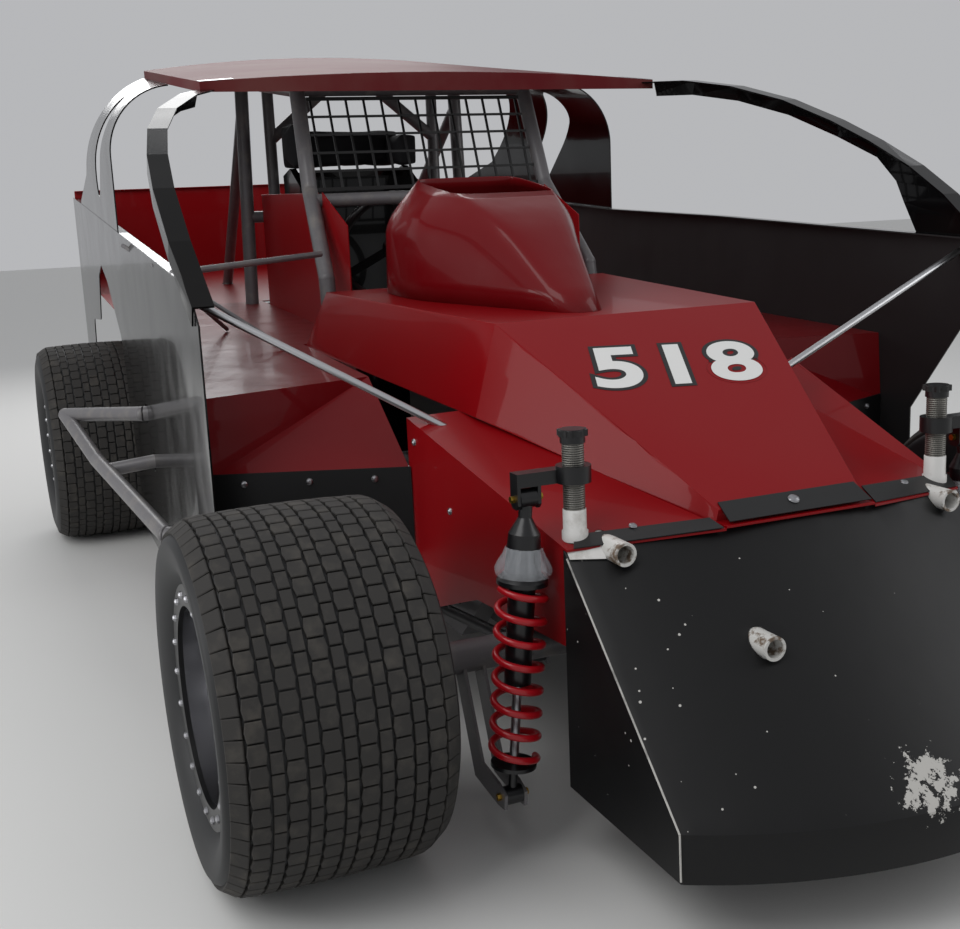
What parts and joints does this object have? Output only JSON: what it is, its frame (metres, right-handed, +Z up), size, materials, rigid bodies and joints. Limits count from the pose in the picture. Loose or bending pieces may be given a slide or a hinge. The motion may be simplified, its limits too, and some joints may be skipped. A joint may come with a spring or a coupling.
{
  "type": "dirt track stock car",
  "caption": "Open-wheel dirt track stock car with folded sheet-metal body, roll cage, wide tyres and steering front wheels.",
  "frame": {"origin": "on the floor under the middle of the car's bounding box", "axes": "+Z up, +Y towards the tail, +X towards the car's left side"},
  "size_m": [2.172, 4.4799, 1.696],
  "materials": {
    "body_red": "gloss",
    "body_black": "gloss",
    "frame_grey": "satin",
    "rubber_black": "matte",
    "rim_alloy": "brushed",
    "steel_dark": "satin",
    "spring_red": "gloss",
    "damper_black": "satin",
    "plastic_black": "matte",
    "cushion_black": "matte",
    "engine_block": "matte"
  },
  "bodies": {
    "car_body": {"front_axle": "frame_grey", "rear_axle": "steel_dark", "drive_shaft": "steel_dark", "engine": "engine_block", "fuel_cell": "plastic_black", "chassis_frame": "frame_grey", "roll_cage": "frame_grey", "rear_bumper": "frame_grey", "coilovers": "damper_black", "springs": "spring_red", "front_posts": "damper_black", "suspension_links": "steel_dark", "nose_panel": "body_black", "hood": "body_red", "cowl_scoop": "body_red", "centre_panels": "body_red", "side_panel_right": "body_black", "side_panel_left": "body_black", "side_decks": "body_red", "sail_panels": "body_black", "side_rails": "frame_grey", "deck_skirts": "plastic_black", "roof_pillars": "body_black", "roof": "body_red", "tail_panel": "body_red", "rear_deck": "body_red", "cockpit_panels": "body_red", "window_guard": "steel_dark", "body_braces": "rim_alloy", "seat": "body_black", "headrest": "cushion_black"},
    "steering_column": {"steering_wheel": "damper_black"},
    "knuckle_right": {"knuckle_right": "steel_dark"},
    "knuckle_left": {"knuckle_left": "steel_dark"},
    "tie_rod": {"tie_rod": "steel_dark"},
    "wheel_front_right": {"tyre_front_right": "rubber_black", "wheel_front_right": "rim_alloy"},
    "wheel_front_left": {"tyre_front_left": "rubber_black", "wheel_front_left": "rim_alloy"},
    "wheel_rear_right": {"tyre_rear_right": "rubber_black", "wheel_rear_right": "rim_alloy"},
    "wheel_rear_left": {"tyre_rear_left": "rubber_black", "wheel_rear_left": "rim_alloy"}
  },
  "joints": [
    {"name": "steering_wheel_turn", "type": "hinge", "parent": "car_body", "child": "steering_column", "pos_m": [-0.07, 0.1, 1.042], "axis": [0, 0.9272, 0.3746], "range_deg": [-180, 180]},
    {"name": "steer_right", "type": "hinge", "parent": "car_body", "child": "knuckle_right", "pos_m": [-0.645, -1.54, 0.333], "axis": [0, 0, 1], "range_deg": [-18, 18]},
    {"name": "steer_left", "type": "hinge", "parent": "car_body", "child": "knuckle_left", "pos_m": [0.645, -1.54, 0.333], "axis": [0, 0, 1], "range_deg": [-18, 18]},
    {"name": "tie_rod_eye", "type": "hinge", "parent": "knuckle_right", "child": "tie_rod", "pos_m": [-0.645, -1.39, 0.248], "axis": [0, 0, 1], "range_deg": [-18, 18]},
    {"name": "roll_front_right", "type": "hinge", "parent": "knuckle_right", "child": "wheel_front_right", "pos_m": [-0.862, -1.54, 0.333], "axis": [1, 0, 0], "continuous": true},
    {"name": "roll_front_left", "type": "hinge", "parent": "knuckle_left", "child": "wheel_front_left", "pos_m": [0.862, -1.54, 0.333], "axis": [1, 0, 0], "continuous": true},
    {"name": "roll_rear_right", "type": "hinge", "parent": "car_body", "child": "wheel_rear_right", "pos_m": [-0.884, 1.23, 0.359], "axis": [1, 0, 0], "continuous": true},
    {"name": "roll_rear_left", "type": "hinge", "parent": "car_body", "child": "wheel_rear_left", "pos_m": [0.884, 1.23, 0.359], "axis": [1, 0, 0], "continuous": true}
  ],
  "couplings": [
    {"joint": "steer_right", "follows": "steering_wheel_turn", "ratio": 0.1},
    {"joint": "steer_left", "follows": "steering_wheel_turn", "ratio": 0.1},
    {"joint": "tie_rod_eye", "follows": "steering_wheel_turn", "ratio": -0.1}
  ]
}
